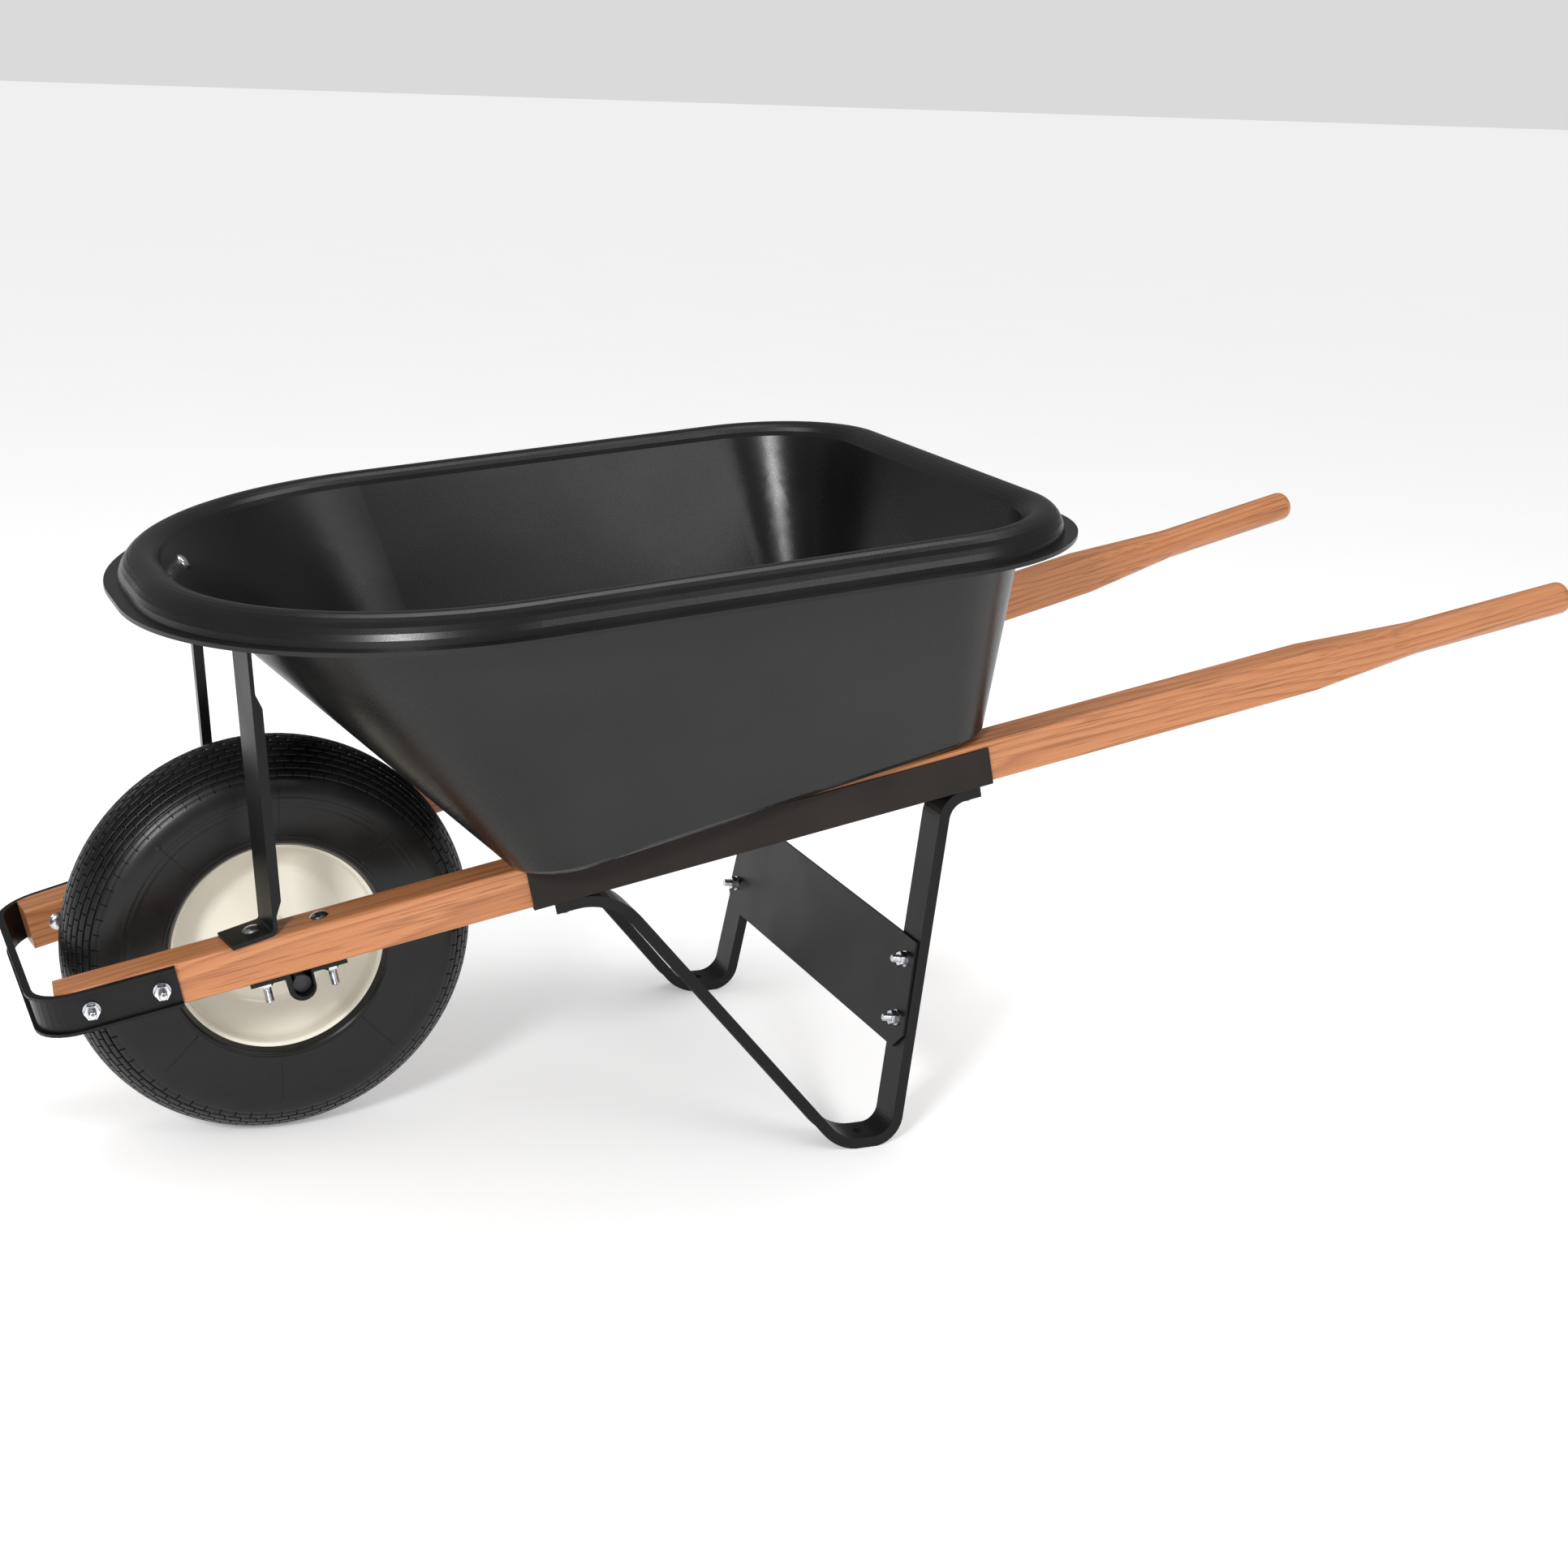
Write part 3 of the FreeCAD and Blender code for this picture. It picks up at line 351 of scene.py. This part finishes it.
def tyre_rows():
    """Closed section as (radius, across, cut set or None, share of mould ridge)."""
    limit = math.radians(TREAD_ANGLE)
    bead = math.pi * BEAD_ANGLE
    pitch = 2 * limit / TREAD_RIBS
    half_groove, slope = pitch * GROOVE_SHARE / 2, pitch * GROOVE_SLOPE
    shoulder = SHOULDER * slope
    outside, inside = SHOULDER_SINKS
    rows = []
    for k in range(TREAD_RIBS):
        low, high = -limit + k * pitch, -limit + (k + 1) * pitch
        inner = low + half_groove
        outer = high - half_groove
        if k:
            rows.append((*crown(inner - slope, GROOVE_DEPTH), None, 0))
        for angle, sink in ((inner - shoulder, outside), (inner + shoulder, inside),
                            (inner + pitch * RIB_FLAT, 0), ((inner + outer) / 2, 0),
                            (outer - pitch * RIB_FLAT, 0), (outer - shoulder, inside),
                            (outer + shoulder, outside)):
            rows.append((*crown(angle, sink), k % 2, 0))
        if k < TREAD_RIBS - 1:
            rows.append((*crown(outer + slope, GROOVE_DEPTH), None, 0))
    side = []
    for k in range(1, SIDE_STEPS + 1):
        share = k / SIDE_STEPS
        angle = limit + (bead - limit) * share
        radius, across = crown(min(angle, math.pi / 2))
        if angle > math.pi / 2:
            down = (angle - math.pi / 2) / (bead - math.pi / 2)
            drop = math.sin(down * math.pi / 2) ** SIDE_DROP
            radius = SECTION_R - (SECTION_R - BEAD_R) * drop
            across = TYRE_HALF_W - (TYRE_HALF_W - BEAD_HALF_W) * down ** SIDE_TUCK
        lift = LINE_H * sum(math.exp(-((share - place) / LINE_SHARE) ** 2)
                            for place in BEAD_LINES)
        fade = min(1.0, (angle - limit) / LINE_FADE)
        ridge = 1.0 if RIDGE_SPAN[0] < share < RIDGE_SPAN[1] else 0.0
        side.append((radius, across + lift * fade, None, ridge))
    toe = [(radius, across, None, 0) for radius, across in TOE]
    tall, wide = TYRE_R - SECTION_R - CASING_T - GROOVE_DEPTH, TYRE_HALF_W - CASING_T
    lining = []
    for k in range(INNER_STEPS + 1):
        angle = math.pi * INNER_ANGLE * (1 - k / INNER_STEPS)
        lining.append((SECTION_R + tall * math.cos(angle), wide * math.sin(angle), None, 0))
    right = side + toe + lining
    left = [(r, -w, c, s) for r, w, c, s in right[::-1]][1:]
    return rows + right + left


def tyre_columns():
    """Columns round the tyre as (angle, cut set, depth share of its cut, share of ridge)."""
    step = 2 * math.pi / CUTS
    half, wall = CUT_W / 2 / TYRE_R, CUT_WALL / 2 / TYRE_R
    columns = []
    for k in range(CUTS):
        for which, middle in ((0, k * step), (1, (k + 0.5) * step)):
            ridge = 1.0 if which == 0 and k % RIDGE_EVERY == 0 else 0.0
            for offset, depth in ((-half - wall, 0), (-half + wall, 1),
                                  (half - wall, 1), (half + wall, 0)):
                columns.append((middle + offset, which, depth, ridge * depth))
            columns.append((middle + step / 4, which, 0, 0.0))
    return columns


def make_tyre(material):
    rows, columns = tyre_rows(), tyre_columns()
    centre = sum(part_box("tyre"), Vector()) / 2
    vertices = []
    for radius, across, cut, ridge in rows:
        side = math.copysign(1.0, across)
        for angle, which, depth, line in columns:
            sunk = CUT_DEPTH * depth if cut is not None and cut == which else 0.0
            r = radius - sunk * (radius - SECTION_R) / (TYRE_R - SECTION_R)
            w = across - sunk * across / TYRE_HALF_W + side * RIDGE_H * ridge * line
            vertices.append((centre.x + r * math.cos(angle) * MM, centre.y + w * MM,
                             centre.z + r * math.sin(angle) * MM))
    faces = grid_faces(len(rows), len(columns), wrap_rows=True)
    new_piece("tyre_casing", vertices, faces, material, "wheel", ["tyre"],
              TYRE_CREASE)


# --- bolts ------------------------------------------------------------------------------

def solids_of(node):
    """Vertex clouds of the separate solids in a CAD node."""
    work = bmesh.new()
    work.from_mesh(NODES[node].data)
    bmesh.ops.remove_doubles(work, verts=work.verts, dist=0.01 * MM)
    clouds, seen = [], set()
    for first in work.verts:
        if first in seen:
            continue
        cloud, waiting = [], [first]
        seen.add(first)
        while waiting:
            vertex = waiting.pop()
            cloud.append(vertex.co.copy())
            for edge in vertex.link_edges:
                other = edge.other_vert(vertex)
                if other not in seen:
                    seen.add(other)
                    waiting.append(other)
        clouds.append(np.array(cloud))
    work.free()
    return clouds


def bolt_axis(cloud):
    """Crown of the head, direction to the tip and length of one bolt."""
    centre = cloud.mean(axis=0)
    _, _, axes = np.linalg.svd(cloud - centre)
    way = axes[0]
    along = (cloud - centre) @ way
    off = np.linalg.norm((cloud - centre) - np.outer(along, way), axis=1)
    if along[off.argmax()] > (along.max() + along.min()) / 2:
        way, along = -way, -along
    widest = cloud[off > off.max() * HEAD_RIM]
    middle = widest.mean(axis=0)
    head = middle + way * (along.min() - (middle - centre) @ way)
    return Vector(head), Vector(way).normalized(), float(along.max() - along.min())


def bolt_rings(length):
    """Rings of one carriage bolt as (distance from the crown, radius or None if threaded)."""
    rings = [(HEAD_H * (1 - math.cos(a)), HEAD_R * HEAD_DOME * math.sin(a) ** HEAD_FULL)
             for a in (math.pi / 2 * k / HEAD_STEPS for k in range(1, HEAD_STEPS))]
    rings += [(HEAD_H * HEAD_EDGE[0], HEAD_R), (HEAD_H, HEAD_R * HEAD_EDGE[1]),
              (HEAD_H, BOLT_R)]
    start = max(HEAD_H + NECK_L, length - THREAD_L)
    threaded = length - TIP_TAPER - start
    rows = int(threaded / THREAD_PITCH * THREAD_STEPS)
    rings += [(start + threaded * k / rows, None) for k in range(rows + 1)]
    return rings + [(length, BOLT_R - TIP_TAPER)]


def thread_radius(along, turn):
    """Radius of the thread at a place along the bolt and a turn round it."""
    phase = (along / THREAD_PITCH - turn / (2 * math.pi)) % 1.0
    return BOLT_R - THREAD_PLAY - THREAD_DEPTH * abs(2 * phase - 1) ** THREAD_SHARP


def make_bolts(node, material):
    """Threaded carriage bolts in the places of a CAD node's plain ones."""
    sides = BOLT_SIDES
    vertices, faces = [], []
    for cloud in solids_of(node):
        head, way, length = bolt_axis(cloud)
        length /= MM
        basis = way.to_track_quat("Z", "Y").to_matrix()
        start = len(vertices)
        rings = bolt_rings(length)
        for along, radius in rings:
            for j in range(sides):
                turn = 2 * math.pi * j / sides
                r = radius if radius is not None else thread_radius(along, turn)
                place = basis @ Vector((r * math.cos(turn), r * math.sin(turn), along))
                vertices.append(head + place * MM)
        faces += grid_faces(len(rings), sides, start)
        faces.append(tuple(range(start, start + sides))[::-1])
        last = start + (len(rings) - 1) * sides
        faces.append(tuple(range(last, last + sides)))
    name = node.replace("bolts", "carriage_bolts")
    piece = new_piece(name, vertices, faces, material, "frame", [node],
                      BOLT_CREASE)
    work = bmesh.new()
    work.from_mesh(piece.data)
    bmesh.ops.recalc_face_normals(work, faces=work.faces)
    work.to_mesh(piece.data)
    work.free()


# --- studio -----------------------------------------------------------------------------

def make_camera():
    data = bpy.data.cameras.new("camera")
    data.lens = CAMERA_LENS
    data.sensor_width = CAMERA_SENSOR
    camera = bpy.data.objects.new("camera", data)
    camera.location = CAMERA_PLACE
    camera.rotation_euler = [math.radians(a) for a in CAMERA_TURN]
    bpy.context.scene.collection.objects.link(camera)
    bpy.context.scene.camera = camera


def make_light(name, place, target, size, power, gloss):
    data = bpy.data.lights.new(name, "AREA")
    data.shape = "RECTANGLE"
    data.size, data.size_y = size
    data.energy = power
    data.specular_factor = gloss
    light = bpy.data.objects.new(name, data)
    light.location = place
    light.rotation_euler = (Vector(target) - Vector(place)).to_track_quat("-Z", "Y").to_euler()
    bpy.context.scene.collection.objects.link(light)


def make_studio():
    world = bpy.data.worlds.new("studio")
    world.use_nodes = True
    tree = world.node_tree
    background = tree.nodes["Background"]
    background.inputs["Color"].default_value = (1.0, 1.0, 1.0, 1.0)
    rays = tree.nodes.new("ShaderNodeLightPath")
    level = tree.nodes.new("ShaderNodeMapRange")    # reflections see a dimmer room
    level.inputs["To Min"].default_value = ROOM_LIGHT
    level.inputs["To Max"].default_value = ROOM_GLOSS
    tree.links.new(rays.outputs["Is Glossy Ray"], level.inputs["Value"])
    tree.links.new(level.outputs[0], background.inputs["Strength"])
    bpy.context.scene.world = world
    for light in LIGHTS:
        make_light(*light)
    finish = Finish("studio_floor", Roughness=0.9, Specular_IOR_Level=0.1,
                    Emission_Color=(1.0, 1.0, 1.0, 1.0), Emission_Strength=FLOOR_GLOW)
    tone = finish.blend(finish.noise(3.0), *(grey(level) for level in FLOOR_LEVELS))
    half = FLOOR_HALF
    corners = [(-half, -half, 0), (half, -half, 0), (half, half, 0), (-half, half, 0)]
    mesh = bpy.data.meshes.new("floor")
    mesh.from_pydata(corners, [], [(0, 1, 2, 3)])
    mesh.materials.append(finish.drive(Base_Color=tone))
    floor = bpy.data.objects.new("floor", mesh)
    bpy.context.scene.collection.objects.link(floor)
    bpy.context.scene.view_settings.view_transform = "Standard"


# --- dressing ---------------------------------------------------------------------------

def paint(names, material):
    for name in names:
        materials = NODES[name].data.materials
        materials.clear()
        materials.append(material)


def along_handle(name):
    """Turn that carries a handle's own length onto X."""
    points = np.array([v.co for v in NODES[name].data.vertices])
    _, _, axes = np.linalg.svd(points - points.mean(axis=0))
    way = Vector(axes[0])
    if way.x < 0:
        way = -way
    side = UP.cross(way).normalized()
    return tuple(Matrix((way, side, way.cross(side))).to_euler())


make_camera()
make_studio()

black_plastic = moulded_plastic("black_plastic")
powder = powder_coat("black_powder")
channel = powder_coat("brown_black_paint", CHANNEL_LEVEL, CHANNEL_TINT, 0.62, 0.16)
zinc = bare_metal("bright_zinc", ZINC, 0.24)
steel = bare_metal("turned_steel", AXLE_STEEL, 0.42, LATHE_FINE)
spacer_grey = bare_metal("spacer_grey", SPACER_GREY, 0.42, LATHE_COARSE)
black_rubber = rubber("tyre_black", TYRE_LEVEL, 0.33)

paint(["tray"], black_plastic)
paint(["nose_guard", "leg_left", "leg_right", "cross_brace", "tray_strut_left",
       "tray_strut_right", "axle_bracket_left", "axle_bracket_right"], powder)
paint(["side_channel_left", "side_channel_right"], channel)
paint(["handle_left"], oak("oak_left", along_handle("handle_left"), 0.37))
paint(["handle_right"], oak("oak_right", along_handle("handle_right"), 1.91))
paint([n for n in NODES if n.endswith(("_nuts", "_washers"))], zinc)
paint(["rim_half_left", "rim_half_right", "hub_tube"], gloss_paint("cream_paint"))
paint(["axle"], steel)
paint(["bearing_left", "bearing_right"],
      bare_metal("bearing_grey", BUSH_GREY, 0.3, LATHE_FINE))
paint(["axle_spacer_left", "axle_spacer_right"], spacer_grey)
paint(["grease_fitting"], zinc)
paint(["inner_tube"], rubber("tube_black", RUBBER_LEVEL, 0.5))
paint(["valve_stem"], rubber("valve_black", RUBBER_LEVEL, 0.45))
paint(["valve_cap"], powder_coat("cap_black", CAP_LEVEL, rough=0.4))
make_tyre(black_rubber)
for node in [n for n in NODES if n.endswith("_bolts")]:
    make_bolts(node, zinc)
